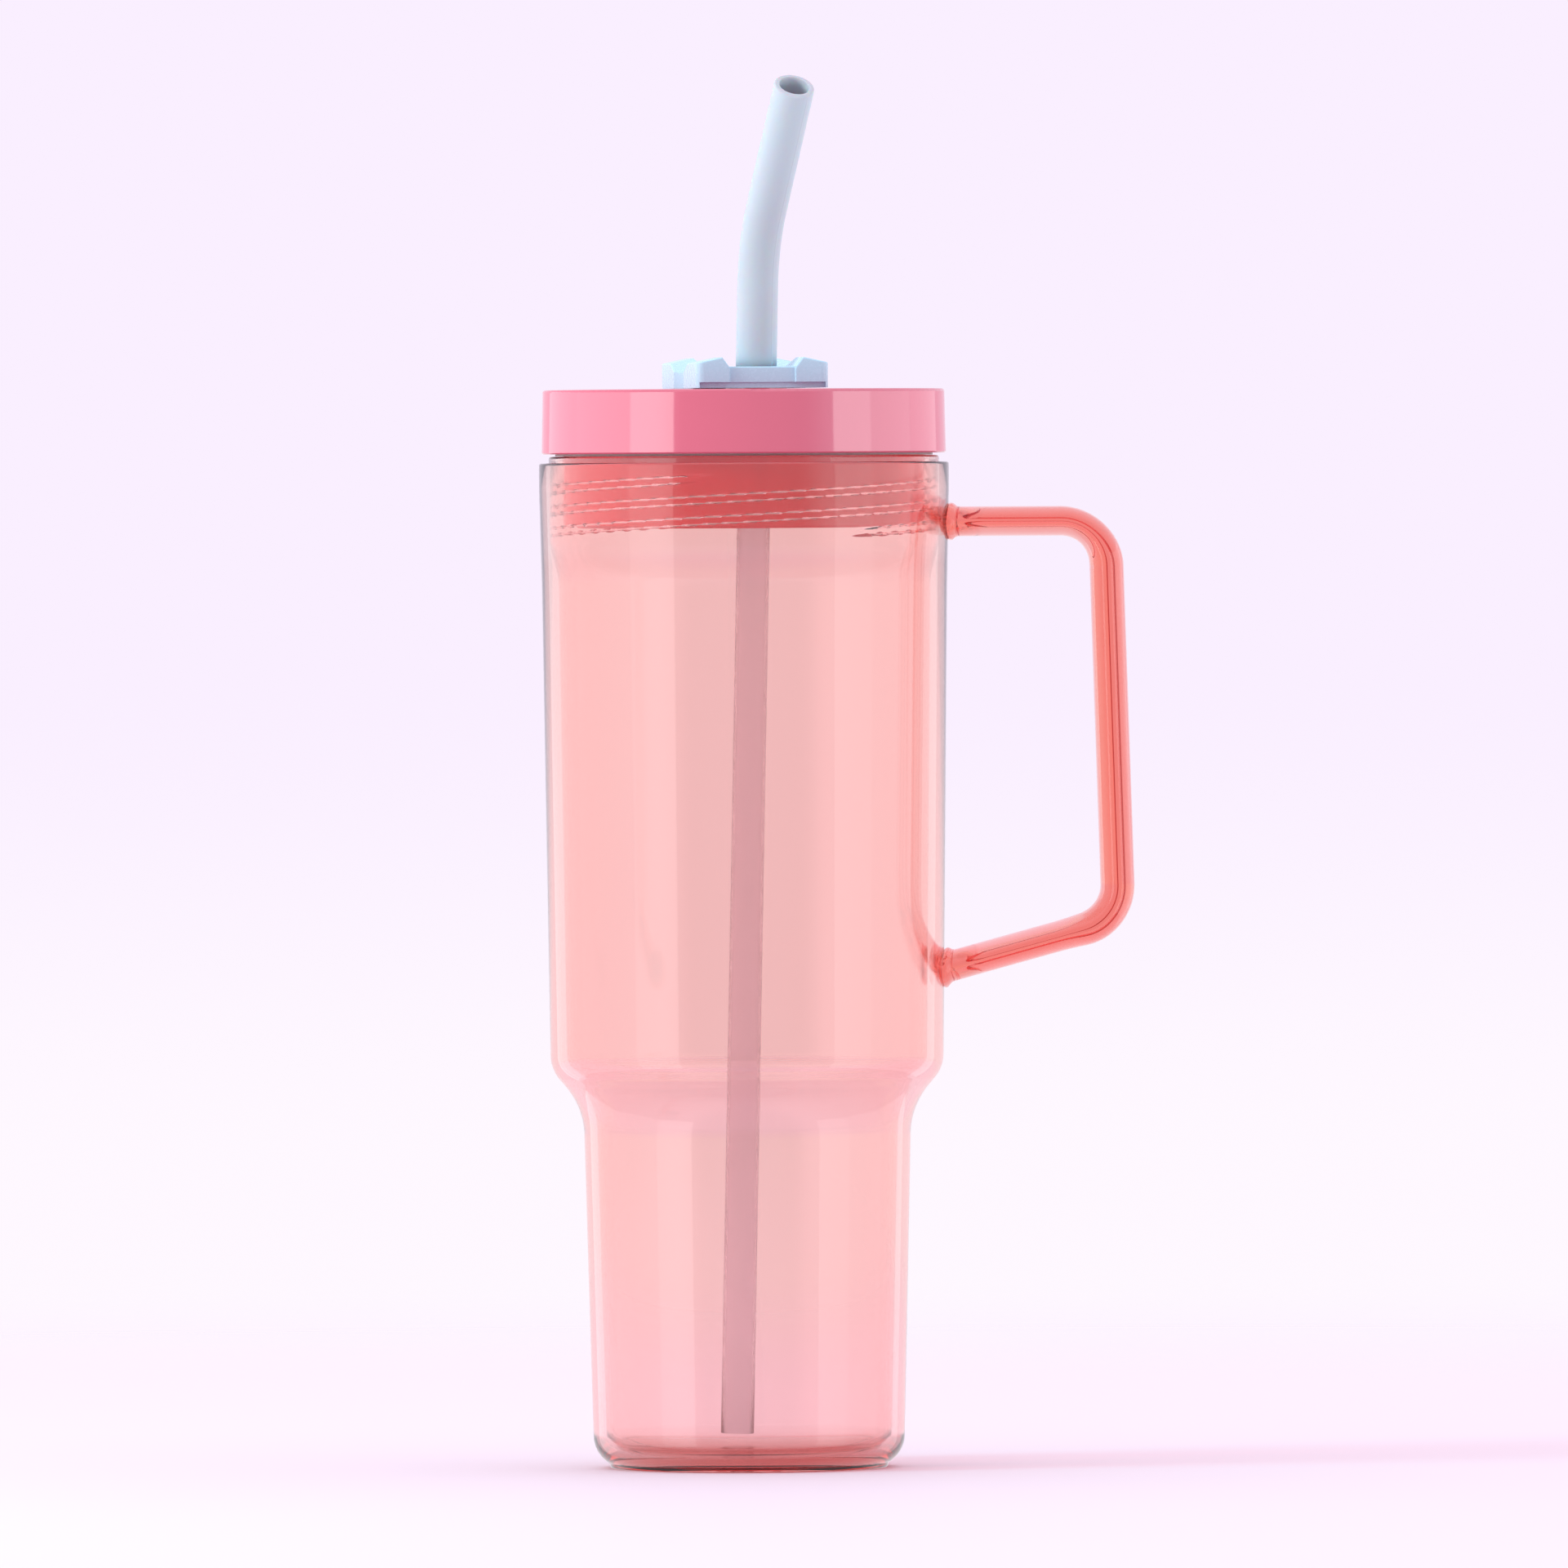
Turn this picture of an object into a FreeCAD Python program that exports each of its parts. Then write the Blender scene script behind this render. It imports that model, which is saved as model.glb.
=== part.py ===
import FreeCAD, Part
import os
from math import atan, cos, pi, radians, sin, sqrt

# Double-walled clear tumbler with a welded handle, a three-start screw lid, a swinging
# drinking cover and a straw with a bent soft tip.
# Millimetres. Origin: centre of the base, on the surface the tumbler stands on.
# +Z up along the cup axis, +X towards the handle, -Y the user's side.

V = FreeCAD.Vector
Z_AXIS = V(0, 0, 1)

# Outer shell
SHELL_SHOULDER_R = 48.15
SHOULDER_Z = 101.0
UPPER_SLOPE = 0.0127
SHELL_FLARE_Z = 215.0
SHELL_NECK_R = 50.2
SHELL_NECK_Z = 240.0
SHELL_RIM_Z = 246.1
SHELL_RIM_EDGE = 0.5
LOWER_R_AT_0 = 37.96
LOWER_SLOPE = 0.0247
SHOULDER_ANGLE = radians(40.0)
SHOULDER_CONVEX_R = 9.0
SHOULDER_CONCAVE_R = 19.0
SHELL_WALL_UPPER = 2.5
SHELL_WALL_LOWER = 2.3
SHELL_MOUTH_R = 47.85
SHELL_MOUTH_Z = 225.0
SHELL_MOUTH_STEP = 4.0
SHELL_MOUTH_EDGE = 0.2
SHELL_FLOOR_Z = 2.8
SHELL_INNER_CORNER_R = 5.6
BASE_CORNER_R = 8.0
BASE_CORNER_TURN = radians(60.0)
FOOT_OUTER_R = 34.0
FOOT_INNER_R = 30.5
FOOT_HEIGHT = 0.9
FOOT_SLANT = 0.8

# Inner liner
LINER_GAP_UPPER = 4.05
LINER_GAP_LOWER = 3.2
LINER_WALL = 1.3
LINER_NECK_R = 47.8
LINER_STEP_Z = 224.5
THREAD_ROOT_LINER = 46.0
LIP_Z = 247.7
LINER_FLOOR_Z = 4.9
LINER_BASE_Z = 3.5
LINER_CORNER_R = 5.2
LINER_INNER_CORNER_R = 4.2
LINER_STEP_RISE = 2.0
LINER_LIP_OUT = 0.5
LINER_LIP_IN = 0.3

# Screw thread, shared by the liner neck and the lid plug
LEAD = 15.3
STARTS = 3
RIDGE_BASE = 2.3
RIDGE_CREST = 1.2
THREAD_CREST_LINER = 44.8
LINER_RIDGE_Z = 228.6
LINER_RIDGE_TURNS = 0.9
THREAD_ROOT_PLUG = 44.4
THREAD_CREST_PLUG = 45.6
PLUG_RIDGE_Z = 231.7
PLUG_RIDGE_TURNS = 0.72
RIDGE_BITE = 0.4

# Handle
HANDLE_TOP_Z = 231.4
HANDLE_GRIP_X = 88.35
HANDLE_GRIP_LEAN = 0.0292
HANDLE_ROOT_LOW_Z = 122.5
HANDLE_ROOT_LOW_X = 50.2
HANDLE_LOW_SLOPE = 0.2736
HANDLE_BEND_R = 11.3
HANDLE_TOP_THICK = 7.3
HANDLE_GRIP_THICK = 8.4
HANDLE_LOW_THICK = 7.5
HANDLE_LOW_BLEND_X = 76.0
HANDLE_DEPTH = 15.0
HANDLE_START_X = 45.0
HANDLE_SECTIONS = 64
ROOT_FLANGE = 1.8
ROOT_FLANGE_GROW = 0.75

# Lid
LID_R_TOP = 49.2
LID_R_LOW = 49.5
LID_TOP_Z = 264.0
LID_LOW_Z = 248.3
LID_FLOOR_Z = 263.2
LID_RIM_IN_R = 46.6
LID_RIM_SLANT = 1.2
LID_PLATE = 2.2
LID_PLATE_LOW_Z = LID_FLOOR_Z - LID_PLATE
LID_SKIRT_R = 46.8
LID_EDGE = 0.7
PLUG_INNER_R = 41.9
PLUG_LOW_Z = 230.0
PLUG_EDGE_IN = 0.4
PLUG_EDGE_OUT = 0.6
PLUG_FLANGE_R = 46.7
PLUG_FLANGE_Z = 249.1
PLUG_FLANGE_THICK = 1.8
SEAL_INNER_R = 44.5
SEAL_OUTER_R = 46.2
SEAL_LOW_Z = 247.78
SEAL_TOP_Z = 249.0

# Straw: its axis leans towards the handle
STRAW_LEAN = 0.02304
STRAW_REF_Z = 266.0
STRAW_X = 3.1
STRAW_Y = -13.5
STRAW_WAY = V(STRAW_LEAN, 0, 1).normalize()
TUBE_R = 4.0
TUBE_BORE_R = 3.3
TUBE_LOW_Z = 8.9
TUBE_TOP_Z = 283.0
TIP_R = 5.0
TIP_BORE_R = 3.65
TIP_LOW_Z = 268.6
TIP_BEND_Z = 289.0
TIP_BEND_R = 34.0
TIP_BEND = radians(34.2)
TIP_HEADING = radians(18.1)
TIP_REACH = 36.0
SLEEVE_BORE_R = 4.02
TIP_MOUTH_FILLET = 0.55
BORE_RUN_OUT = 5.0
SOCKET_END_GAP = 0.1

# Straw collar on the lid, and the grommet in it
COLLAR_R = 7.6
COLLAR_BORE_R = 6.3
COLLAR_TOP_Z = 267.3
COLLAR_BEAD_R = 8.0
COLLAR_BEAD_Z = 266.4
GROMMET_R = 6.2
GROMMET_FLANGE_R = 7.3
GROMMET_TOP_Z = 268.4
GROMMET_BARB_R = 7.4
GROMMET_BARB_H = 1.3
GROMMET_BORE_R = 4.08

# Swinging cover: u across it, v from the straw lobe to the far lobe
COVER_X = STRAW_X
COVER_Y = STRAW_Y
COVER_TURN = 9.65
COVER_LOW_Z = 264.3
COVER_WAIST_Z = 268.1
COVER_DECK_Z = 269.5
COVER_EAR_Z = 271.8
COVER_EAR_OUT_Z = 270.2
COVER_HALF_W = 16.4
COVER_WAIST_W = 12.8
COVER_LOBE = 10.2
COVER_SPAN = 33.0
COVER_CORNER_R = 2.0
COVER_EAR_IN = 8.3
COVER_EAR_PEAK = 10.0
COVER_EAR_FLAT = 0.0
COVER_NOTCH_DEEP = 0.9
COVER_NOTCH_R = 0.45
COVER_UNDERCUT_Z = 265.7
COVER_UNDERCUT_DEEP = 1.5
COVER_HOLE_R = 6.4
COVER_BORE_GAP = 0.15
COVER_BORE_TOP_Z = 268.6
COVER_GROOVE_R = 8.25
COVER_GROOVE_HALF = 0.7
COVER_EDGE = 0.4

# Sip opening in the lid, and its seal under the cover's far lobe
SIP_LENGTH = 15.0
SIP_WIDTH = 8.0
SIP_V = 35.0
SIP_PAD_GROW = 2.2
SIP_PAD_LOW_Z = 263.5
SIP_PAD_TOP_Z = 265.4
VENT_R = 1.2
VENT_V = 22.0


def rz(r, z):
    return V(r, 0, z)


def line(a, b):
    return Part.LineSegment(a, b).toShape()


def path(points):
    return [line(a, b) for a, b in zip(points, points[1:])]


def arc_about(centre, radius, start, end):
    """Arc in the XZ plane. The angles are measured from +X towards +Z."""
    def at(angle):
        return centre + V(radius * cos(angle), 0, radius * sin(angle))

    return Part.Arc(at(start), at((start + end) / 2), at(end)).toShape()


def start_of(edge):
    return edge.valueAt(edge.FirstParameter)


def end_of(edge):
    return edge.valueAt(edge.LastParameter)


def revolve(edges):
    wire = Part.Wire(Part.__sortEdges__(edges))
    return Part.Face(wire).revolve(V(0, 0, 0), Z_AXIS, 360)


def ring(r_in, r_out, z_low, z_top):
    corners = [rz(r_in, z_low), rz(r_out, z_low), rz(r_out, z_top), rz(r_in, z_top)]
    return revolve(path(corners + corners[:1]))


def export(name, shape):
    shape = shape.removeSplitter()
    shape.exportStep("parts/" + name + ".step")
    print(name, "valid", shape.isValid(), "solids", len(shape.Solids), "mm3", round(shape.Volume))
    return shape


def wall_surface(inset_upper, inset_lower, top, floor_z, corner_r, corner_turn=pi / 2):
    """One face of a wall, from the point top down over the shoulder to the base corner.

    It follows the outer face, moved inwards by the two insets. Returns its edges in order."""
    upper = atan(UPPER_SLOPE)
    lower = atan(LOWER_SLOPE)
    convex_r = SHOULDER_CONVEX_R - inset_upper
    concave_r = SHOULDER_CONCAVE_R + inset_lower
    shoulder = rz(SHELL_SHOULDER_R - inset_upper, SHOULDER_Z)
    convex_c = shoulder + V(-convex_r * cos(upper), 0, convex_r * sin(upper))
    convex = arc_about(convex_c, convex_r, -upper, -SHOULDER_ANGLE)
    bend = end_of(convex)
    lower_r0 = LOWER_R_AT_0 - inset_lower
    drop = concave_r * (sin(SHOULDER_ANGLE) - sin(lower))
    shift = concave_r * (cos(SHOULDER_ANGLE) - cos(lower))
    spare = bend.x + shift - lower_r0 - LOWER_SLOPE * (bend.z - drop)
    run = spare / (sin(SHOULDER_ANGLE) - LOWER_SLOPE * cos(SHOULDER_ANGLE))
    cone_end = bend - V(run * sin(SHOULDER_ANGLE), 0, run * cos(SHOULDER_ANGLE))
    concave_c = cone_end + V(concave_r * cos(SHOULDER_ANGLE), 0, -concave_r * sin(SHOULDER_ANGLE))
    concave = arc_about(concave_c, concave_r, pi - SHOULDER_ANGLE, pi - lower)
    corner_z = floor_z + corner_r * sin(corner_turn)
    wall_end = rz(lower_r0 + LOWER_SLOPE * corner_z, corner_z)
    corner_c = wall_end - V(corner_r * cos(lower), 0, -corner_r * sin(lower))
    corner = arc_about(corner_c, corner_r, -lower, -corner_turn)
    return [
        line(top, shoulder),
        convex,
        line(bend, cone_end),
        concave,
        line(end_of(concave), start_of(corner)),
        corner,
    ]


def upper_r(inset, z):
    return SHELL_SHOULDER_R - inset + UPPER_SLOPE * (z - SHOULDER_Z)


def outer_shell_face():
    """Outer face of the shell, from the flare below the neck down to the foot."""
    top = rz(upper_r(0, SHELL_FLARE_Z), SHELL_FLARE_Z)
    return wall_surface(0, 0, top, FOOT_HEIGHT, BASE_CORNER_R, BASE_CORNER_TURN)


def make_outer_shell():
    outer = outer_shell_face()
    step_z = SHELL_MOUTH_Z - SHELL_MOUTH_STEP
    inner_top = rz(upper_r(SHELL_WALL_UPPER, step_z), step_z)
    inner = wall_surface(
        SHELL_WALL_UPPER, SHELL_WALL_LOWER, inner_top, SHELL_FLOOR_Z, SHELL_INNER_CORNER_R)
    flare = start_of(outer[0])
    rim = path([
        flare,
        rz(SHELL_NECK_R, SHELL_NECK_Z),
        rz(SHELL_NECK_R, SHELL_RIM_Z - SHELL_RIM_EDGE),
        rz(SHELL_NECK_R - SHELL_RIM_EDGE, SHELL_RIM_Z),
        rz(SHELL_MOUTH_R + SHELL_MOUTH_EDGE, SHELL_RIM_Z),
        rz(SHELL_MOUTH_R, SHELL_RIM_Z - SHELL_MOUTH_EDGE),
        rz(SHELL_MOUTH_R, SHELL_MOUTH_Z),
        inner_top,
    ])
    foot = path([
        end_of(outer[-1]),
        rz(FOOT_OUTER_R, 0),
        rz(FOOT_INNER_R, 0),
        rz(FOOT_INNER_R - FOOT_SLANT, FOOT_HEIGHT),
        rz(0, FOOT_HEIGHT),
        rz(0, SHELL_FLOOR_Z),
        end_of(inner[-1]),
    ])
    return revolve(outer + inner + rim + foot)


def make_liner_blank():
    step_low = LINER_STEP_Z - LINER_STEP_RISE
    step_top = LINER_STEP_Z + LINER_STEP_RISE
    outer_top = rz(upper_r(LINER_GAP_UPPER, step_low), step_low)
    inset_in = LINER_GAP_UPPER + LINER_WALL
    inner_top = rz(upper_r(inset_in, LINER_STEP_Z), LINER_STEP_Z)
    outer = wall_surface(LINER_GAP_UPPER, LINER_GAP_LOWER, outer_top, LINER_BASE_Z, LINER_CORNER_R)
    inner = wall_surface(
        inset_in, LINER_GAP_LOWER + LINER_WALL, inner_top, LINER_FLOOR_Z, LINER_INNER_CORNER_R)
    neck = path([
        outer_top,
        rz(LINER_NECK_R, step_top),
        rz(LINER_NECK_R, LIP_Z - LINER_LIP_OUT),
        rz(LINER_NECK_R - LINER_LIP_OUT, LIP_Z),
        rz(THREAD_ROOT_LINER + LINER_LIP_IN, LIP_Z),
        rz(THREAD_ROOT_LINER, LIP_Z - LINER_LIP_IN),
        rz(THREAD_ROOT_LINER, step_top + LINER_LIP_OUT),
        inner_top,
    ])
    floor = path([end_of(outer[-1]), rz(0, LINER_BASE_Z), rz(0, LINER_FLOOR_Z), end_of(inner[-1])])
    return revolve(outer + inner + neck + floor)


def thread_ridges(root_r, crest_r, z_start, turns, phase):
    """STARTS helical ridges of trapezoid section between the root and crest radii."""
    inward = 1 if root_r > crest_r else -1
    bite_r = root_r + inward * RIDGE_BITE
    half_base = RIDGE_BASE / 2
    half_crest = RIDGE_CREST / 2
    section = Part.makePolygon([
        rz(bite_r, z_start - half_base),
        rz(root_r, z_start - half_base),
        rz(crest_r, z_start - half_crest),
        rz(crest_r, z_start + half_crest),
        rz(root_r, z_start + half_base),
        rz(bite_r, z_start + half_base),
        rz(bite_r, z_start - half_base),
    ])
    spine = Part.makeHelix(LEAD, LEAD * turns, crest_r)
    spine.translate(V(0, 0, z_start))
    ridge = Part.Wire(spine).makePipeShell([section], True, True)
    ridges = []
    for start in range(STARTS):
        copy = ridge.copy()
        copy.rotate(V(0, 0, 0), Z_AXIS, phase + start * 360 / STARTS)
        ridges.append(copy)
    return ridges


def make_inner_liner():
    ridges = thread_ridges(
        THREAD_ROOT_LINER, THREAD_CREST_LINER, LINER_RIDGE_Z, LINER_RIDGE_TURNS, 180)
    return make_liner_blank().multiFuse(ridges)


def handle_path():
    """The handle's centreline: straight runs joined by arcs, in the XZ plane."""
    grip = V(HANDLE_GRIP_LEAN, 0, -1).normalize()
    top_corner = rz(HANDLE_GRIP_X, HANDLE_TOP_Z)
    low = V(1, 0, HANDLE_LOW_SLOPE).normalize()
    root_low = rz(HANDLE_ROOT_LOW_X, HANDLE_ROOT_LOW_Z)
    across = top_corner - root_low
    along = (across.x * grip.z - across.z * grip.x) / (low.x * grip.z - low.z * grip.x)
    low_corner = root_low + low * along
    start = rz(HANDLE_START_X, HANDLE_TOP_Z)
    finish = root_low + low * ((HANDLE_START_X - HANDLE_ROOT_LOW_X) / low.x)
    points = [start, top_corner, low_corner, finish]
    edges = []
    last = start
    for before, corner, after in zip(points, points[1:], points[2:]):
        way_in = (corner - before).normalize()
        way_out = (after - corner).normalize()
        half_turn = way_in.getAngle(way_out) / 2
        setback = HANDLE_BEND_R * sin(half_turn) / cos(half_turn)
        enter = corner - way_in * setback
        leave = corner + way_out * setback
        to_centre = (way_out - way_in).normalize()
        bulge = HANDLE_BEND_R / cos(half_turn) - HANDLE_BEND_R
        edges.append(line(last, enter))
        edges.append(Part.Arc(enter, corner + to_centre * bulge, leave).toShape())
        last = leave
    edges.append(line(last, finish))
    return Part.Wire(edges)


def blend(low, high, share):
    share = min(max(share, 0), 1)
    return low + (high - low) * (3 * share ** 2 - 2 * share ** 3)


def handle_thickness(point):
    """Thickness in the XZ plane: thin top bar, thicker grip, lower bar between them."""
    if point.z > (HANDLE_TOP_Z + HANDLE_ROOT_LOW_Z) / 2:
        share = (HANDLE_TOP_Z - point.z) / HANDLE_BEND_R
        return blend(HANDLE_TOP_THICK, HANDLE_GRIP_THICK, share)
    share = (point.x - HANDLE_LOW_BLEND_X) / HANDLE_BEND_R
    return blend(HANDLE_LOW_THICK, HANDLE_GRIP_THICK, share)


def oval(centre, normal, thickness, depth):
    major = centre + V(0, depth / 2, 0)
    minor = centre + normal * (thickness / 2)
    return Part.Wire(Part.Ellipse(major, minor, centre).toShape())


def root_flange(point, direction, thickness):
    """Short oval pad where a bar of the handle meets the shell."""
    normal = V(-direction.z, 0, direction.x)
    depth = HANDLE_DEPTH + 2 * ROOT_FLANGE_GROW
    face = Part.Face(oval(point, normal, thickness + 2 * ROOT_FLANGE_GROW, depth))
    shell_x = upper_r(0, point.z)
    length = (shell_x + ROOT_FLANGE - point.x) / direction.x
    return face.extrude(direction * length)


def make_handle():
    spine = handle_path()
    sections = []
    points = spine.discretize(HANDLE_SECTIONS)
    for i, point in enumerate(points):
        before = points[max(i - 1, 0)]
        after = points[min(i + 1, len(points) - 1)]
        tangent = (after - before).normalize()
        normal = V(-tangent.z, 0, tangent.x)
        sections.append(oval(point, normal, handle_thickness(point), HANDLE_DEPTH))
    rod = Part.makeLoft(sections, True, False)
    top = root_flange(points[0], V(1, 0, 0), HANDLE_TOP_THICK)
    low_way = V(1, 0, HANDLE_LOW_SLOPE).normalize()
    low = root_flange(points[-1], low_way, HANDLE_LOW_THICK)
    shell_outer = outer_shell_face()
    flare = start_of(shell_outer[0])
    core = revolve(shell_outer + path([
        end_of(shell_outer[-1]),
        rz(0, FOOT_HEIGHT),
        rz(0, SHELL_RIM_Z),
        rz(SHELL_NECK_R, SHELL_RIM_Z),
        rz(SHELL_NECK_R, SHELL_NECK_Z),
        flare,
    ]))
    return rod.multiFuse([top, low]).cut(core)


def straw_at(z):
    return V(STRAW_X + STRAW_LEAN * (z - STRAW_REF_Z), STRAW_Y, z)


def straw_cylinder(radius, z_low, z_top):
    start = straw_at(z_low)
    return Part.makeCylinder(radius, (straw_at(z_top) - start).Length, start, STRAW_WAY)


def from_cover_frame(shape):
    """Moves a shape made at u=x, v=y into its place on the lid."""
    shape.rotate(V(0, 0, 0), Z_AXIS, COVER_TURN)
    shape.translate(V(COVER_X, COVER_Y, 0))
    return shape


def slot_prism(length, width, v, z_low, z_top):
    """Slot with round ends, along u, in the cover's frame."""
    half = (length - width) / 2
    box = Part.makeBox(2 * half, width, z_top - z_low, V(-half, v - width / 2, z_low))
    ends = [Part.makeCylinder(width / 2, z_top - z_low, V(s * half, v, z_low)) for s in (-1, 1)]
    return box.multiFuse(ends).removeSplitter()


def collar_core(radius, z_low, z_top):
    return Part.makeCylinder(radius, z_top - z_low, V(STRAW_X, STRAW_Y, z_low))


def make_lid_cap():
    cap = revolve(path([
        rz(0, LID_PLATE_LOW_Z),
        rz(LID_SKIRT_R, LID_PLATE_LOW_Z),
        rz(LID_SKIRT_R, LID_LOW_Z),
        rz(LID_R_LOW - LID_EDGE / 2, LID_LOW_Z),
        rz(LID_R_LOW, LID_LOW_Z + LID_EDGE / 2),
        rz(LID_R_TOP, LID_TOP_Z - LID_EDGE),
    ]) + [
        arc_about(rz(LID_R_TOP - LID_EDGE, LID_TOP_Z - LID_EDGE), LID_EDGE, 0, pi / 2),
    ] + path([
        rz(LID_R_TOP - LID_EDGE, LID_TOP_Z),
        rz(LID_RIM_IN_R, LID_TOP_Z),
        rz(LID_RIM_IN_R - LID_RIM_SLANT, LID_FLOOR_Z),
        rz(0, LID_FLOOR_Z),
        rz(0, LID_PLATE_LOW_Z),
    ]))
    collar = collar_core(COLLAR_R, LID_PLATE_LOW_Z, COLLAR_TOP_Z)
    bead_r = COLLAR_BEAD_R - COLLAR_R
    bead = Part.makeTorus(COLLAR_R, bead_r, V(STRAW_X, STRAW_Y, COLLAR_BEAD_Z))
    bore = collar_core(COLLAR_BORE_R, LID_PLATE_LOW_Z - 1, COLLAR_TOP_Z + 1)
    sip = slot_prism(SIP_LENGTH, SIP_WIDTH, SIP_V, LID_PLATE_LOW_Z - 1, LID_TOP_Z)
    vent = Part.makeCylinder(VENT_R, LID_PLATE + 2, V(0, VENT_V, LID_PLATE_LOW_Z - 1))
    holes = [bore, from_cover_frame(sip), from_cover_frame(vent)]
    return cap.multiFuse([collar, bead]).cut(Part.makeCompound(holes))


def make_lid_plug():
    body = revolve(path([
        rz(PLUG_INNER_R, PLUG_LOW_Z + PLUG_EDGE_IN),
        rz(PLUG_INNER_R + PLUG_EDGE_IN, PLUG_LOW_Z),
        rz(THREAD_ROOT_PLUG - PLUG_EDGE_OUT, PLUG_LOW_Z),
        rz(THREAD_ROOT_PLUG, PLUG_LOW_Z + PLUG_EDGE_OUT),
        rz(THREAD_ROOT_PLUG, PLUG_FLANGE_Z),
        rz(PLUG_FLANGE_R, PLUG_FLANGE_Z),
        rz(PLUG_FLANGE_R, PLUG_FLANGE_Z + PLUG_FLANGE_THICK),
        rz(THREAD_ROOT_PLUG, PLUG_FLANGE_Z + PLUG_FLANGE_THICK),
        rz(THREAD_ROOT_PLUG, LID_PLATE_LOW_Z),
        rz(PLUG_INNER_R, LID_PLATE_LOW_Z),
        rz(PLUG_INNER_R, PLUG_LOW_Z + PLUG_EDGE_IN),
    ]))
    rise = PLUG_RIDGE_Z - LINER_RIDGE_Z
    half_pitch = 180 / STARTS
    phase = 180 + half_pitch + rise / LEAD * 360
    ridges = thread_ridges(
        THREAD_ROOT_PLUG, THREAD_CREST_PLUG, PLUG_RIDGE_Z, PLUG_RIDGE_TURNS, phase)
    return body.multiFuse(ridges)


def make_lid_seal():
    return ring(SEAL_INNER_R, SEAL_OUTER_R, SEAL_LOW_Z, SEAL_TOP_Z)


def make_straw_grommet():
    body = collar_core(GROMMET_R, LID_PLATE_LOW_Z - GROMMET_BARB_H, GROMMET_TOP_Z)
    flange = collar_core(GROMMET_FLANGE_R, COLLAR_TOP_Z, GROMMET_TOP_Z)
    barb = collar_core(GROMMET_BARB_R, LID_PLATE_LOW_Z - GROMMET_BARB_H, LID_PLATE_LOW_Z)
    bore = straw_cylinder(
        GROMMET_BORE_R, LID_PLATE_LOW_Z - BORE_RUN_OUT, GROMMET_TOP_Z + BORE_RUN_OUT)
    return body.multiFuse([flange, barb]).cut(bore)


def cover_outline(z):
    """Bow-tie outline in the cover's frame: two wide lobes and a waist."""
    near = -COVER_LOBE
    far = COVER_SPAN + COVER_LOBE
    w = COVER_HALF_W
    r = COVER_CORNER_R
    k = r * (1 - sqrt(0.5))
    side = [
        line(V(w, near + r, z), V(w, COVER_LOBE - 1, z)),
        Part.Arc(
            V(w, COVER_LOBE - 1, z),
            V(COVER_WAIST_W, COVER_SPAN / 2, z),
            V(w, COVER_SPAN - COVER_LOBE + 1, z)).toShape(),
        line(V(w, COVER_SPAN - COVER_LOBE + 1, z), V(w, far - r, z)),
        Part.Arc(V(w, far - r, z), V(w - k, far - k, z), V(w - r, far, z)).toShape(),
        Part.Arc(V(w - r, near, z), V(w - k, near + k, z), V(w, near + r, z)).toShape(),
    ]
    other = [edge.mirror(V(0, 0, 0), V(1, 0, 0)) for edge in side]
    ends = [line(V(-w + r, v, z), V(w - r, v, z)) for v in (near, far)]
    wire = Part.Wire(Part.__sortEdges__(side + other + ends))
    return Part.Face(wire)


def cover_lobe_top():
    """Cross-section of a lobe's top, run along v and sloped down towards the waist."""
    w = COVER_HALF_W + 1
    reach = COVER_LOBE + 1
    half = [(w, COVER_EAR_OUT_Z), (COVER_EAR_PEAK, COVER_EAR_Z), (COVER_EAR_IN, COVER_DECK_Z)]
    outline = [(w, COVER_LOW_Z)] + half
    outline += [(-u, z) for u, z in reversed(outline)]
    outline.append(outline[0])
    section = Part.Face(Part.makePolygon([V(u, -reach, z) for u, z in outline]))
    prism = section.extrude(V(0, reach + COVER_LOBE, 0))
    ramp = Part.Face(Part.makePolygon([
        V(-w, COVER_EAR_FLAT, COVER_EAR_Z),
        V(-w, COVER_LOBE, COVER_WAIST_Z),
        V(-w, COVER_LOBE, COVER_EAR_Z + 1),
        V(-w, COVER_EAR_FLAT, COVER_EAR_Z + 1),
        V(-w, COVER_EAR_FLAT, COVER_EAR_Z),
    ])).extrude(V(2 * w, 0, 0))
    return prism.cut(ramp)


def cover_end_cuts():
    """Finger notch and shallow undercut at the straw lobe's end."""
    end = -COVER_LOBE
    notch = Part.makeBox(
        2 * COVER_EAR_IN, 2 * COVER_NOTCH_DEEP, 20,
        V(-COVER_EAR_IN, end - COVER_NOTCH_DEEP, COVER_LOW_Z - 1))
    upright = [e for e in notch.Edges if e.BoundBox.ZLength > 10 and e.BoundBox.YMin > end]
    notch = notch.makeFillet(COVER_NOTCH_R, upright)
    undercut = Part.makeBox(
        2 * (COVER_HALF_W - 0.8), COVER_UNDERCUT_DEEP, COVER_UNDERCUT_Z - COVER_LOW_Z + 1,
        V(-COVER_HALF_W + 0.8, end - 0.01, COVER_LOW_Z - 1))
    return [notch, undercut]


def both_ends(shape):
    """The shape and its twin at the far lobe, turned half round about the cover's middle."""
    twin = shape.copy()
    twin.rotate(V(0, COVER_SPAN / 2, 0), Z_AXIS, 180)
    return [shape, twin]


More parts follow.
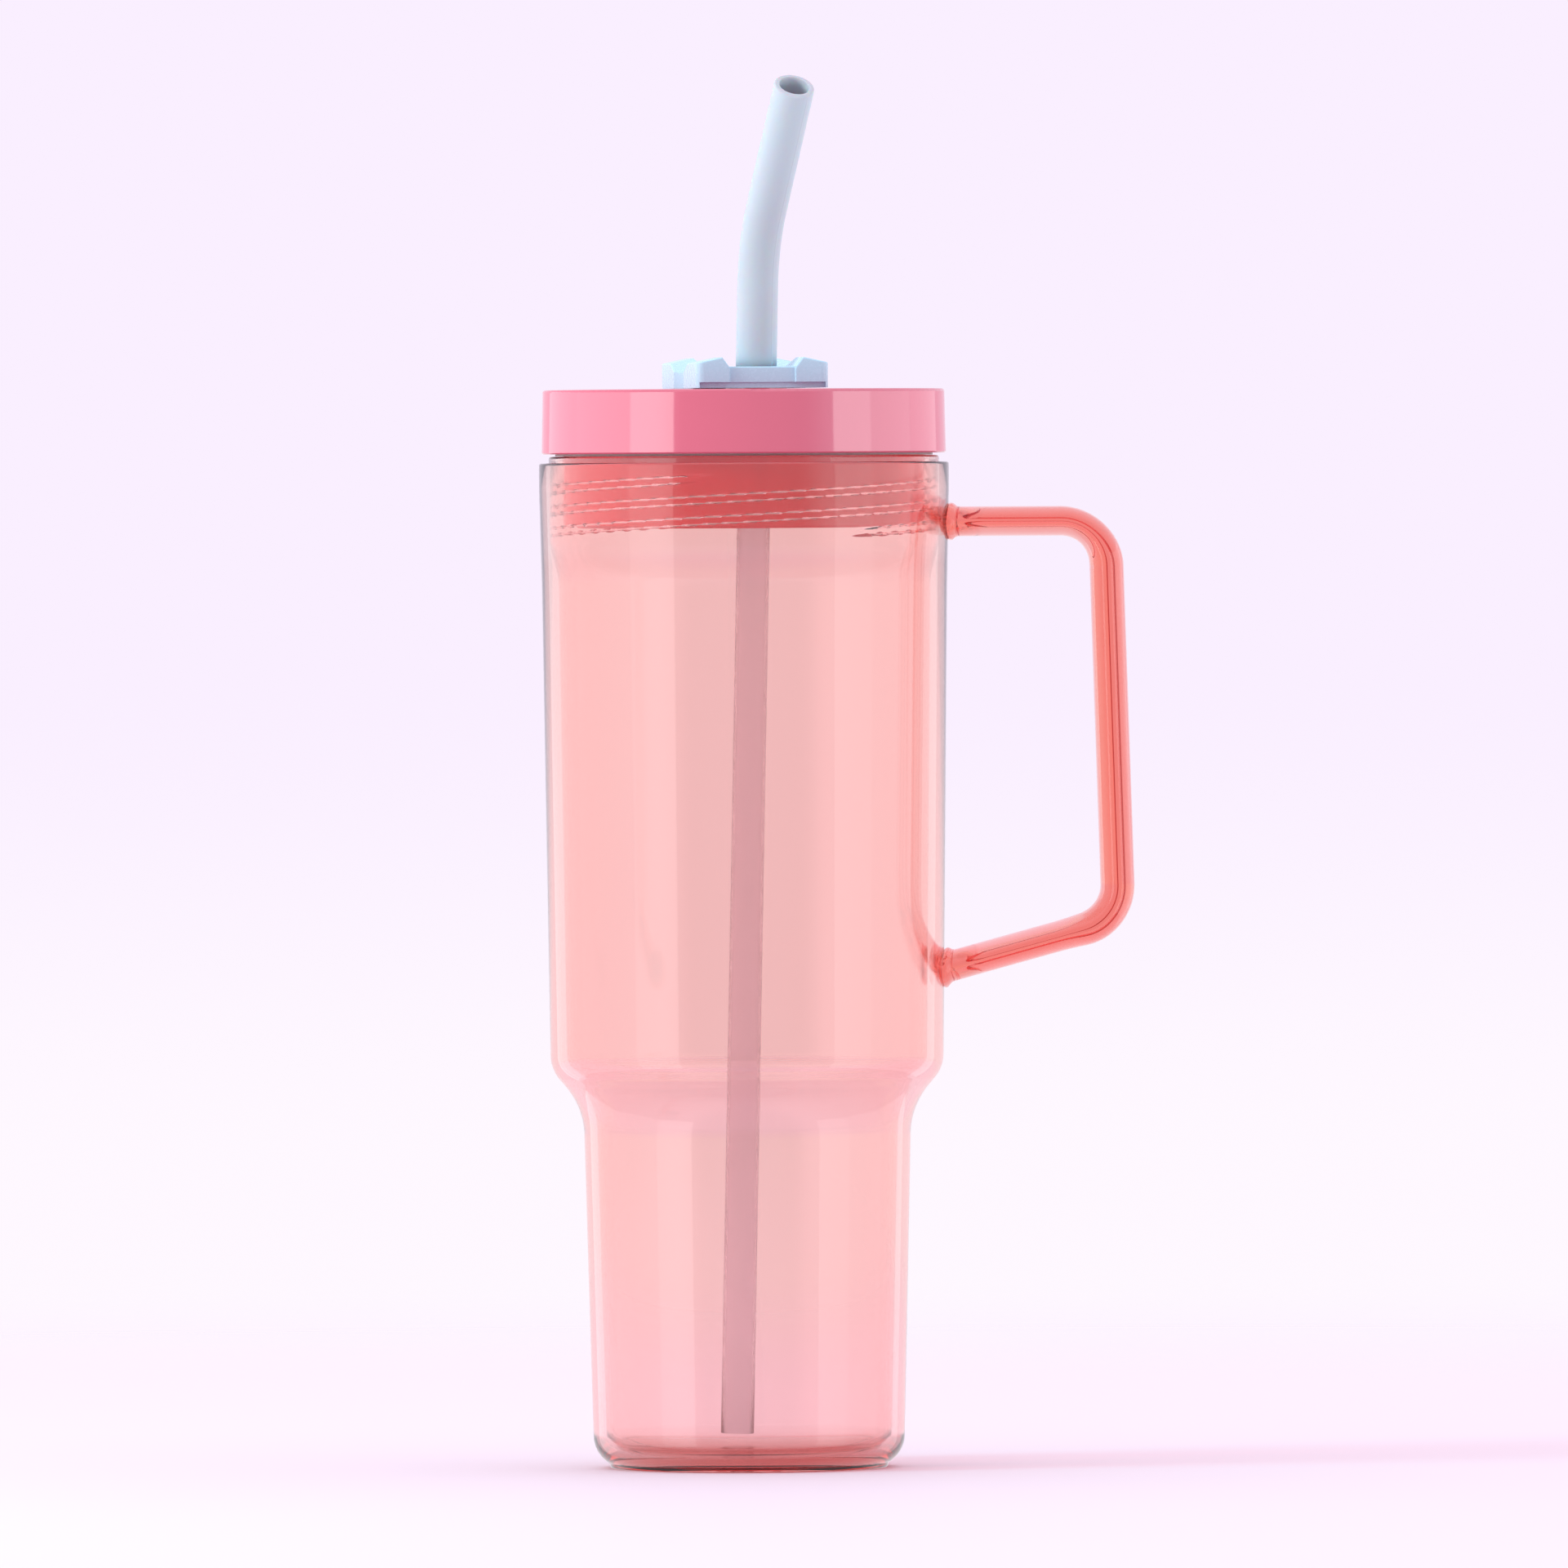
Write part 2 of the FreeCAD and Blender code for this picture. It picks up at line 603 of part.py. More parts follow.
def make_cover():
    height = COVER_EAR_Z + 2 - COVER_LOW_Z
    outline = cover_outline(COVER_LOW_Z)
    tall = outline.extrude(V(0, 0, height))
    base = outline.extrude(V(0, 0, COVER_WAIST_Z - COVER_LOW_Z))
    lobes = [tall.common(top) for top in both_ends(cover_lobe_top())]
    body = base.multiFuse(lobes).removeSplitter()
    cuts = []
    for cut in cover_end_cuts():
        cuts += both_ends(cut)
    body = body.cut(Part.makeCompound(cuts)).removeSplitter()
    soft = [e for e in body.Edges if is_rim_edge(e)]
    body = body.makeFillet(COVER_EDGE, soft)
    pocket = slot_prism(
        SIP_LENGTH + 2 * SIP_PAD_GROW + 0.1, SIP_WIDTH + 2 * SIP_PAD_GROW + 0.1, SIP_V,
        COVER_LOW_Z - 1, SIP_PAD_TOP_Z + 0.05)
    body = from_cover_frame(body.cut(pocket))
    bore_r = COLLAR_R + COVER_BORE_GAP
    bore = collar_core(bore_r, COVER_LOW_Z - 1, COVER_BORE_TOP_Z)
    groove_low = COLLAR_BEAD_Z - COVER_GROOVE_HALF
    groove = collar_core(COVER_GROOVE_R, groove_low, COLLAR_BEAD_Z + COVER_GROOVE_HALF)
    hole = collar_core(COVER_HOLE_R, COVER_LOW_Z, COVER_EAR_Z + 1)
    return body.cut(Part.makeCompound([bore, groove, hole]))


def is_rim_edge(edge):
    """Top edges and upright corner edges of the cover, which are rounded."""
    box = edge.BoundBox
    if box.ZMin < COVER_UNDERCUT_Z + 0.1:
        return False
    return box.ZLength < 2.5 and box.ZMax > COVER_WAIST_Z + 0.5


def make_sip_seal():
    """Soft pad in the cover's pocket, just above the sip opening."""
    pad = slot_prism(
        SIP_LENGTH + 2 * SIP_PAD_GROW, SIP_WIDTH + 2 * SIP_PAD_GROW, SIP_V,
        SIP_PAD_LOW_Z, SIP_PAD_TOP_Z)
    return from_cover_frame(pad)


def make_straw_tube():
    tube = straw_cylinder(TUBE_R, TUBE_LOW_Z, TUBE_TOP_Z)
    return tube.cut(straw_cylinder(
        TUBE_BORE_R, TUBE_LOW_Z - BORE_RUN_OUT, TUBE_TOP_Z + BORE_RUN_OUT))


def tip_path():
    """Straight sleeve, one bend towards the user and the handle, straight mouthpiece."""
    start = straw_at(TIP_LOW_Z)
    bend = straw_at(TIP_BEND_Z)
    side = V(sin(TIP_HEADING), -cos(TIP_HEADING), 0)
    side = (side - STRAW_WAY * side.dot(STRAW_WAY)).normalize()

    def on_bend(angle):
        return bend + (side * (1 - cos(angle)) + STRAW_WAY * sin(angle)) * TIP_BEND_R

    leave = on_bend(TIP_BEND)
    way = STRAW_WAY * cos(TIP_BEND) + side * sin(TIP_BEND)
    return Part.Wire([
        line(start, bend),
        Part.Arc(bend, on_bend(TIP_BEND / 2), leave).toShape(),
        line(leave, leave + way * TIP_REACH),
    ])


def pipe_along(spine, radius):
    start = spine.Edges[0].valueAt(spine.Edges[0].FirstParameter)
    section = Part.Wire(Part.Circle(start, STRAW_WAY, radius).toShape())
    return spine.makePipeShell([section], True, False)


def make_straw_tip():
    spine = tip_path()
    outside = pipe_along(spine, TIP_R)
    end = spine.Edges[-1].valueAt(spine.Edges[-1].LastParameter)
    rim = [e for e in outside.Edges if e.Length < 7 * TIP_R
           and e.BoundBox.Center.distanceToPoint(end) < 1]
    outside = outside.makeFillet(TIP_MOUTH_FILLET, rim)
    bore = pipe_along(spine, TIP_BORE_R)
    socket = straw_cylinder(
        SLEEVE_BORE_R, TIP_LOW_Z - BORE_RUN_OUT, TUBE_TOP_Z + SOCKET_END_GAP)
    return outside.cut(Part.makeCompound([bore, socket]))


def main():
    os.makedirs("parts", exist_ok=True)
    export("outer_shell", make_outer_shell())
    export("inner_liner", make_inner_liner())
    export("handle", make_handle())
    export("lid_cap", make_lid_cap())
    export("lid_plug", make_lid_plug())
    export("lid_seal", make_lid_seal())
    export("straw_grommet", make_straw_grommet())
    export("drink_cover", make_cover())
    export("sip_seal", make_sip_seal())
    export("straw_tube", make_straw_tube())
    export("straw_tip", make_straw_tip())


main()
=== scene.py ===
from math import atan, cos, pi, radians, sin, sqrt, tan

import bmesh
import bpy
from mathutils import Matrix, Vector, noise


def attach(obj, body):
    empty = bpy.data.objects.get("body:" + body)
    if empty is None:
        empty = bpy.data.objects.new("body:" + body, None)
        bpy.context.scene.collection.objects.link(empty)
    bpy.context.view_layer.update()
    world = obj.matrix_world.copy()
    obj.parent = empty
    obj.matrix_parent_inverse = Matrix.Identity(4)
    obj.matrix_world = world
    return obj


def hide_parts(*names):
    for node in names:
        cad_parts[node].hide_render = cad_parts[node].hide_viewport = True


# Looks of the clear tumbler. The two clear walls, the handle, the straw and its tip are built
# here as fine smooth meshes. They follow the CAD parts, with three differences: the liner's
# step is longer, its thread is lower, and the handle's back is thinned to leave a rib. The lid,
# cover and seals are the CAD parts themselves. Dimensions are millimetres in the CAD frame;
# lights, camera and material nodes are in metres.

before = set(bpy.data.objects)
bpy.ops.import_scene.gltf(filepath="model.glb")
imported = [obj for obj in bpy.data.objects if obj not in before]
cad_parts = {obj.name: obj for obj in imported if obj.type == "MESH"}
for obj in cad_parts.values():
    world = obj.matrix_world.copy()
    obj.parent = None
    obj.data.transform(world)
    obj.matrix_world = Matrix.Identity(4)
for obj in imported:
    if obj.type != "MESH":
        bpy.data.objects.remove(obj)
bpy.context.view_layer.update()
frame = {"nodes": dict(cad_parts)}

MM = 0.001
TURN = 2 * pi

# Outer shell
SHOULDER_R = 48.15
SHOULDER_Z = 101.0
UPPER_SLOPE = 0.0127
FLARE_Z = 215.0
NECK_R = 50.2
NECK_Z = 240.0
RIM_Z = 246.1
LOWER_R_AT_0 = 37.96
LOWER_SLOPE = 0.0247
SHOULDER_ANGLE = radians(40.0)
CONVEX_R = 9.0
CONCAVE_R = 19.0
WALL_UPPER = 2.5
WALL_LOWER = 2.3
MOUTH_R = 47.85
MOUTH_Z = 225.0
SHELL_FLOOR_Z = 2.8
FOOT_OUTER_R = 34.0
FOOT_INNER_R = 30.5
FOOT_HEIGHT = 0.9
FOOT_INNER_FLARE = 0.8
FOOT_INNER_EDGE = 0.3
FOOT_OUTER_EDGE = 0.5
SHELL_CORNER_R = 8.0
SHELL_CORNER_TURN = radians(60)
SHELL_INNER_CORNER_R = 5.6
MOUTH_RAMP = 4
RIM_OUTER_EDGE = 0.6
RIM_INNER_EDGE = 0.3
ARC_STEP = 0.35
EDGE_STEP = 0.1

# Inner liner
GAP_UPPER = 4.05
GAP_LOWER = 3.2
LINER_WALL = 1.3
LINER_NECK_R = 47.8
STEP_LOW_Z = 215.0
STEP_HIGH_Z = 227.5
STEP_ROWS = 16
THREAD_ROOT = 46.0
RIDGE_HEIGHT = 0.8
LIP_Z = 247.7
LINER_BASE_Z = 3.5
LINER_FLOOR_Z = 4.9
LINER_CORNER_R = 5.2
LINER_INNER_CORNER_R = 4.2
LIP_OUTER_EDGE = 0.6
LIP_INNER_EDGE = 0.5
THREAD_ROWS = 76
LEAD = 15.3
STARTS = 3
RIDGE_Z = 228.6
RIDGE_TURNS = 0.9
RIDGE_BASE = 2.3
RIDGE_CREST = 1.2
RIDGE_FADE = 0.06

# Handle
HANDLE_TOP_Z = 231.4
GRIP_X = 88.35
GRIP_LEAN = 0.0292
ROOT_LOW = Vector((50.2, 0, 122.5))
LOW_SLOPE = 0.2736
BEND_R = 11.3
TOP_THICK = 7.3
GRIP_THICK = 8.4
LOW_THICK = 7.5
HANDLE_DEPTH = 15.0
LOW_BLEND_X = 76.0
TOP_START_X = 53.5
LOW_END = 3.2
BAR_STEP = 1.2
BEND_STEPS = 30
AROUND = 96
RIB_MIDDLE = -0.12
RIB_HALF = 0.12
RIB_SOFT = 0.34
RIB_FADE = 4
FLANGE_DEPTH = 2.6

# Weld pads at the handle's roots: height above the shell and how far the pad stands out there
PAD_FILL = (0.15, 0.45, 0.75)
PAD_FILL_GROW = 1.5
PAD_GAP = 0.04
PAD_STEPS = ((PAD_GAP, 0.62), (0.25, 0.85), (0.7, 0.95), (1.15, 0.8), (1.6, 0.5),
             (1.95, 0.2), (2.4, 0.03))
PAD_ROUGH = 0.28
PAD_ROUGH_AROUND = 0.34
PAD_ROUGH_UP = 1.5
PAD_SEED_TOP = 3.1
PAD_SEED_LOW = 8.7
PAD_REACH = 12.0

# Straw
STRAW_LEAN = 0.02304
STRAW_X = 3.1
STRAW_REF_Z = 266.0
STRAW_Y = -13.5
TUBE_R = 4.0
TUBE_BORE_R = 3.3
TUBE_LOW_Z = 8.9
TUBE_TOP_Z = 283.0
TIP_R = 5.0
TIP_BORE_R = 3.65
TIP_LOW_Z = 268.6
TIP_BEND_Z = 289.0
TIP_BEND_R = 34.0
TIP_BEND = radians(34.2)
TIP_HEADING = radians(18.1)
TIP_REACH = 36.0
SLEEVE_R = 4.02
STRAW_WAY = Vector((STRAW_LEAN, 0, 1)).normalized()
TUBE_EDGE = 0.15
TUBE_ROWS = 12
TUBE_AROUND = 96
TIP_AROUND = 240
TIP_ROWS = 6
TIP_BEND_ROWS = 28
TIP_END_ROWS = 14
TIP_FOOT_EDGE = 0.25
MOUTH_EDGE_R = 0.55
MOUTH_EDGE_ROWS = 6
MOUTH_BEVEL = 0.2
PARTING = radians(47.7)
SEAM_HEIGHT = 0.07
SEAM_HALF = 0.22

# Angles, in degrees, above which an edge between faces is drawn sharp
LATHE_SHARP = 28
BAR_SHARP = 50
TIP_SHARP = 45

# Stage, in metres
FLOOR_RADIUS = 9.0
FLOOR_DROP = 0.00005
FLOOR_FADE = (0.25, 1.3)
FLOOR_COLOUR = (0.92, 0.87, 0.93)
FLOOR_DARKER = 0.985
WORLD_COLOUR = (0.956, 0.863, 1.0)
LOW_COLOUR = (0.995, 0.935, 1.0)
LOW_BAND = (-0.029, -0.008)
FRONT_LEVEL = 0.6
FRONT_BAND = (-0.85, -0.6)
BOX_AWAY = 0.9
BOX_LOW = -0.35
BOX_HIGH = 0.45
BOX_COLOUR = (0.94, 1, 1)
CLEAR_BOUNCES = 24
DIFFUSE_BOUNCES = 4
PASSING_BOUNCES = 32
SENSOR = 36.0


# ---------------------------------------------------------------- profiles

def arc_points(centre, radius, start, end, step=ARC_STEP):
    count = max(3, int(abs(end - start) * radius / step) + 1)
    return [
        (centre[0] + radius * cos(start + (end - start) * i / count),
         centre[1] + radius * sin(start + (end - start) * i / count))
        for i in range(count + 1)
    ]


def upper_r(inset, z):
    return SHOULDER_R - inset + UPPER_SLOPE * (z - SHOULDER_Z)


def wall_points(inset_upper, inset_lower, top, floor_z, corner_r, corner_turn=pi / 2):
    """One face of a wall as (r, z) points, from top over the shoulder to the base corner."""
    upper = atan(UPPER_SLOPE)
    lower = atan(LOWER_SLOPE)
    convex_r = CONVEX_R - inset_upper
    concave_r = CONCAVE_R + inset_lower
    sr = SHOULDER_R - inset_upper
    convex_c = (sr - convex_r * cos(upper), SHOULDER_Z + convex_r * sin(upper))
    convex = arc_points(convex_c, convex_r, -upper, -SHOULDER_ANGLE)
    bend = convex[-1]
    lower_r0 = LOWER_R_AT_0 - inset_lower
    drop = concave_r * (sin(SHOULDER_ANGLE) - sin(lower))
    shift = concave_r * (cos(SHOULDER_ANGLE) - cos(lower))
    spare = bend[0] + shift - lower_r0 - LOWER_SLOPE * (bend[1] - drop)
    run = spare / (sin(SHOULDER_ANGLE) - LOWER_SLOPE * cos(SHOULDER_ANGLE))
    cone_end = (bend[0] - run * sin(SHOULDER_ANGLE), bend[1] - run * cos(SHOULDER_ANGLE))
    concave_c = (cone_end[0] + concave_r * cos(SHOULDER_ANGLE),
                 cone_end[1] - concave_r * sin(SHOULDER_ANGLE))
    concave = arc_points(concave_c, concave_r, pi - SHOULDER_ANGLE, pi - lower)
    corner_z = floor_z + corner_r * sin(corner_turn)
    wall_end = (lower_r0 + LOWER_SLOPE * corner_z, corner_z)
    corner_c = (wall_end[0] - corner_r * cos(lower), wall_end[1] + corner_r * sin(lower))
    corner = arc_points(corner_c, corner_r, -lower, -corner_turn)
    return [top] + convex + concave + corner


def shell_profile():
    outer = wall_points(0, 0, (upper_r(0, FLARE_Z), FLARE_Z), FOOT_HEIGHT,
                        SHELL_CORNER_R, SHELL_CORNER_TURN)
    ramp_z = MOUTH_Z - MOUTH_RAMP
    inner = wall_points(WALL_UPPER, WALL_LOWER, (upper_r(WALL_UPPER, ramp_z), ramp_z),
                        SHELL_FLOOR_Z, SHELL_INNER_CORNER_R)
    foot = [(0, FOOT_HEIGHT), (FOOT_INNER_R - FOOT_INNER_FLARE, FOOT_HEIGHT)]
    foot += arc_points((FOOT_INNER_R + FOOT_INNER_EDGE, FOOT_INNER_EDGE),
                       FOOT_INNER_EDGE, pi, 1.5 * pi, EDGE_STEP)
    foot += arc_points((FOOT_OUTER_R - FOOT_OUTER_EDGE, FOOT_OUTER_EDGE),
                       FOOT_OUTER_EDGE, 1.5 * pi, 1.85 * pi, EDGE_STEP)
    rim = [(NECK_R, NECK_Z)]
    rim += arc_points((NECK_R - RIM_OUTER_EDGE, RIM_Z - RIM_OUTER_EDGE),
                      RIM_OUTER_EDGE, 0, pi / 2, EDGE_STEP)
    rim += arc_points((MOUTH_R + RIM_INNER_EDGE, RIM_Z - RIM_INNER_EDGE),
                      RIM_INNER_EDGE, pi / 2, pi, EDGE_STEP)
    rim += [(MOUTH_R, MOUTH_Z)]
    return foot + outer[::-1] + rim + inner + [(0, SHELL_FLOOR_Z)]


def ease(low, high, share):
    """Smooth step from low to high as share goes from 0 to 1."""
    share = min(max(share, 0), 1)
    return low + (high - low) * (3 * share ** 2 - 2 * share ** 3)


def liner_profile():
    outer_top = (upper_r(GAP_UPPER, STEP_LOW_Z), STEP_LOW_Z)
    inset = GAP_UPPER + LINER_WALL
    outer = wall_points(GAP_UPPER, GAP_LOWER, outer_top, LINER_BASE_Z, LINER_CORNER_R)
    inner_top = (upper_r(inset, STEP_LOW_Z), STEP_LOW_Z)
    inner = wall_points(inset, GAP_LOWER + LINER_WALL, inner_top, LINER_FLOOR_Z,
                        LINER_INNER_CORNER_R)
    shares = [i / STEP_ROWS for i in range(1, STEP_ROWS + 1)]
    rise = STEP_HIGH_Z - STEP_LOW_Z
    neck = [(ease(outer_top[0], LINER_NECK_R, t), STEP_LOW_Z + rise * t) for t in shares]
    neck += arc_points((LINER_NECK_R - LIP_OUTER_EDGE, LIP_Z - LIP_OUTER_EDGE),
                       LIP_OUTER_EDGE, 0, pi / 2, EDGE_STEP)
    neck += arc_points((THREAD_ROOT + LIP_INNER_EDGE, LIP_Z - LIP_INNER_EDGE),
                       LIP_INNER_EDGE, pi / 2, pi, EDGE_STEP)
    thread_top = LIP_Z - LIP_OUTER_EDGE
    neck += [(THREAD_ROOT, thread_top + (STEP_HIGH_Z - thread_top) * i / THREAD_ROWS)
             for i in range(THREAD_ROWS + 1)]
    neck += [(ease(inner_top[0], THREAD_ROOT, t), STEP_LOW_Z + rise * t)
             for t in shares[-2::-1]]
    return [(0, LINER_BASE_Z)] + outer[::-1] + neck + inner + [(0, LINER_FLOOR_Z)]


def ridge_height(angle, z):
    """How far the liner's thread stands in from its root at this place, 0 to 1."""
    best = 0.0
    for start in range(STARTS):
        first = pi + start * TURN / STARTS
        along = (angle - first) % TURN
        for turn in range(2):
            share = (along + turn * TURN) / TURN
            fade = min(1.0, share / RIDGE_FADE, (RIDGE_TURNS - share) / RIDGE_FADE)
            if fade <= 0:
                continue
            off = abs(z - RIDGE_Z - LEAD * share)
            flank = (RIDGE_BASE / 2 - off) / ((RIDGE_BASE - RIDGE_CREST) / 2)
            best = max(best, fade * min(1.0, max(0.0, flank)))
    return best * best * (3 - 2 * best)


# ---------------------------------------------------------------- meshes

def finish_mesh(name, verts, faces, sharp):
    mesh = bpy.data.meshes.new(name)
    mesh.from_pydata([[c * MM for c in v] for v in verts], [], faces)
    bm = bmesh.new()
    bm.from_mesh(mesh)
    bmesh.ops.recalc_face_normals(bm, faces=bm.faces)
    bm.to_mesh(mesh)
    bm.free()
    for face in mesh.polygons:
        face.use_smooth = True
    mesh.set_sharp_from_angle(angle=radians(sharp))
    obj = bpy.data.objects.new(name, mesh)
    bpy.context.scene.collection.objects.link(obj)
    return obj


def lathe(name, profile, segments, shape=None):
    """Closed solid of revolution about Z. shape(angle, r, z) may move the radius."""
    points = [profile[0]]
    for p in profile[1:]:
        if (p[0] - points[-1][0]) ** 2 + (p[1] - points[-1][1]) ** 2 > 1e-6:
            points.append(p)
    verts = []
    rows = []
    for r, z in points:
        if r < 1e-6:
            rows.append([len(verts)])
            verts.append((0, 0, z))
            continue
        row = []
        for i in range(segments):
            angle = TURN * i / segments
            radius = shape(angle, r, z) if shape else r
            row.append(len(verts))
            verts.append((radius * cos(angle), radius * sin(angle), z))
        rows.append(row)
    faces = []
    for a, b in zip(rows, rows[1:]):
        for i in range(segments):
            j = (i + 1) % segments
            if len(a) == 1:
                faces.append((a[0], b[j], b[i]))
            elif len(b) == 1:
                faces.append((a[i], a[j], b[0]))
            else:
                faces.append((a[i], a[j], b[j], b[i]))
    return finish_mesh(name, verts, faces, LATHE_SHARP)


def skin(name, rings, closed, sharp):
    """Quads between rings of equal length, the last joined to the first if closed.

    Otherwise a fan of triangles closes each end."""
    verts = [v for ring in rings for v in ring]
    count = len(rings[0])
    faces = []
    pairs = list(zip(range(len(rings)), range(1, len(rings))))
    if closed:
        pairs.append((len(rings) - 1, 0))
    for a, b in pairs:
        for i in range(count):
            j = (i + 1) % count
            faces.append((a * count + i, a * count + j, b * count + j, b * count + i))
    if not closed:
        for end in (0, len(rings) - 1):
            middle = sum((Vector(v) for v in rings[end]), Vector()) / count
            verts.append(middle)
            for i in range(count):
                faces.append((end * count + i, end * count + (i + 1) % count, len(verts) - 1))
    return finish_mesh(name, verts, faces, sharp)


# ---------------------------------------------------------------- handle

def shell_outer_r(z):
    if z <= FLARE_Z:
        return upper_r(0, z)
    flare_r = upper_r(0, FLARE_Z)
    return flare_r + (NECK_R - flare_r) * min(1, (z - FLARE_Z) / (NECK_Z - FLARE_Z))


def handle_line():
    """Centreline as (point, tangent) pairs, from the upper root to the lower one."""
    grip = Vector((GRIP_LEAN, 0, -1)).normalized()
    low = Vector((1, 0, LOW_SLOPE)).normalized()
    top_corner = Vector((GRIP_X, 0, HANDLE_TOP_Z))
    across = top_corner - ROOT_LOW
    along = (across.x * grip.z - across.z * grip.x) / (low.x * grip.z - low.z * grip.x)
    low_corner = ROOT_LOW + low * along
    corners = [Vector((TOP_START_X, 0, HANDLE_TOP_Z)), top_corner, low_corner,
               ROOT_LOW + low * LOW_END]
    stations = []
    last = corners[0]
    for before, corner, after in zip(corners, corners[1:], corners[2:]):
        way_in = (corner - before).normalized()
        way_out = (after - corner).normalized()
        turn = way_in.angle(way_out)
        setback = BEND_R * tan(turn / 2)
        enter = corner - way_in * setback
        steps = max(2, int((enter - last).length / BAR_STEP))
        stations += [(last.lerp(enter, i / steps), way_in) for i in range(steps)]
        inward = (way_out - way_in).normalized()
        centre = corner + inward * (BEND_R / cos(turn / 2))
        side = (enter - centre).normalized()
        for i in range(BEND_STEPS + 1):
            a = turn * i / BEND_STEPS
            stations.append((centre + (side * cos(a) + way_in * sin(a)) * BEND_R,
                             way_in * cos(a) - side * sin(a)))
        last = corner + way_out * setback
    steps = int((corners[-1] - last).length / BAR_STEP)
    way = (corners[-1] - last).normalized()
    stations += [(last.lerp(corners[-1], i / steps), way) for i in range(1, steps + 1)]
    return stations


def handle_thick(p):
    if p.z > (HANDLE_TOP_Z + ROOT_LOW.z) / 2:
        return ease(TOP_THICK, GRIP_THICK, (HANDLE_TOP_Z - p.z) / BEND_R)
    return ease(LOW_THICK, GRIP_THICK, (p.x - LOW_BLEND_X) / BEND_R)


def oval_ring(centre, tangent, thick, depth, ribbed=0.0):
    """Oval across the bar. ribbed 1 thins the back half, which leaves a rib down its middle."""
    normal = Vector((-tangent.z, 0, tangent.x))
    ring = []
    for i in range(AROUND):
        a = TURN * i / AROUND
        back = depth / 2
        if sin(a) > 0:
            off = (abs(cos(a) - RIB_MIDDLE) - RIB_HALF) / RIB_SOFT
            back = ease(back, back + (FLANGE_DEPTH - back) * ribbed, off)
        reach = back if sin(a) > 0 else depth / 2
        ring.append(centre + normal * (cos(a) * thick / 2) + Vector((0, sin(a) * reach, 0)))
    return ring


def onto_shell(point, way, height):
    """Slides a point along way until it is height away from the shell's outer face."""
    low, high = -PAD_REACH, PAD_REACH
    for _ in range(40):
        mid = (low + high) / 2
        q = point + way * mid
        if sqrt(q.x * q.x + q.y * q.y) < shell_outer_r(q.z) + height:
            low = mid
        else:
            high = mid
    return point + way * low


def root_rings(centre, way, tangent, thick, seed):
    """Weld pad: from the pad's middle on the shell out to the plain bar."""
    rings = []
    for share in PAD_FILL:
        ring = oval_ring(centre, tangent, (thick + PAD_FILL_GROW) * share,
                         (HANDLE_DEPTH + PAD_FILL_GROW) * share)
        rings.append([onto_shell(p, way, PAD_GAP) for p in ring])
    for height, grow in PAD_STEPS:
        ring = oval_ring(centre, tangent, thick + 2 * grow, HANDLE_DEPTH + 2 * grow)
        moved = []
        for i, p in enumerate(ring):
            place = Vector((i * PAD_ROUGH_AROUND, height * PAD_ROUGH_UP, seed))
            rough = noise.noise(place) * PAD_ROUGH * min(1, grow)
            out = (p - centre).normalized()
            moved.append(onto_shell(p + out * rough, way, height))
        rings.append(moved)
    return rings


def make_handle():
    stations = handle_line()
    way = Vector((1, 0, LOW_SLOPE)).normalized()
    top = root_rings(stations[0][0], Vector((1, 0, 0)), stations[0][1], TOP_THICK,
                     PAD_SEED_TOP)
    low = root_rings(stations[-1][0], way, stations[-1][1], LOW_THICK, PAD_SEED_LOW)
    rings = []
    for i, (p, t) in enumerate(stations):
        ribbed = min(1.0, i / RIB_FADE, (len(stations) - 1 - i) / RIB_FADE)
        rings.append(oval_ring(p, t, handle_thick(p), HANDLE_DEPTH, ribbed))
    return skin("handle_clear", top + rings + low[::-1], False, BAR_SHARP)


# ---------------------------------------------------------------- straw

def straw_at(z):
    return Vector((STRAW_X + STRAW_LEAN * (z - STRAW_REF_Z), STRAW_Y, z))


def tube_rings(line, radii, count, seam=None):
    """Rings of the given radii round (centre, side, across) stations."""
    rings = []
    for (centre, side, across), radius in zip(line, radii):
        ring = []
        for i in range(count):
            a = TURN * i / count
            r = radius + (seam(a) if seam else 0)
            ring.append(centre + side * (cos(a) * r) + across * (sin(a) * r))
        rings.append(ring)
    return rings


def make_tube():
    side = Vector((1, 0, 0)) - STRAW_WAY * STRAW_WAY.x
    side.normalize()
    across = STRAW_WAY.cross(side)
    length = TUBE_TOP_Z - TUBE_LOW_Z
    stops = [(TUBE_LOW_Z, TUBE_R - TUBE_EDGE), (TUBE_LOW_Z + TUBE_EDGE, TUBE_R)]
    stops += [(TUBE_LOW_Z + length * i / TUBE_ROWS, TUBE_R) for i in range(1, TUBE_ROWS)]
    stops += [(TUBE_TOP_Z - TUBE_EDGE, TUBE_R), (TUBE_TOP_Z, TUBE_R - TUBE_EDGE),
              (TUBE_TOP_Z, TUBE_BORE_R)]
    stops += [(TUBE_TOP_Z - length * i / TUBE_ROWS, TUBE_BORE_R)
              for i in range(1, TUBE_ROWS + 1)]
    line = [(straw_at(z), side, across) for z, _ in stops]
    rings = tube_rings(line, [r for _, r in stops], TUBE_AROUND)
    return skin("straw_tube_pink", rings, True, BAR_SHARP)


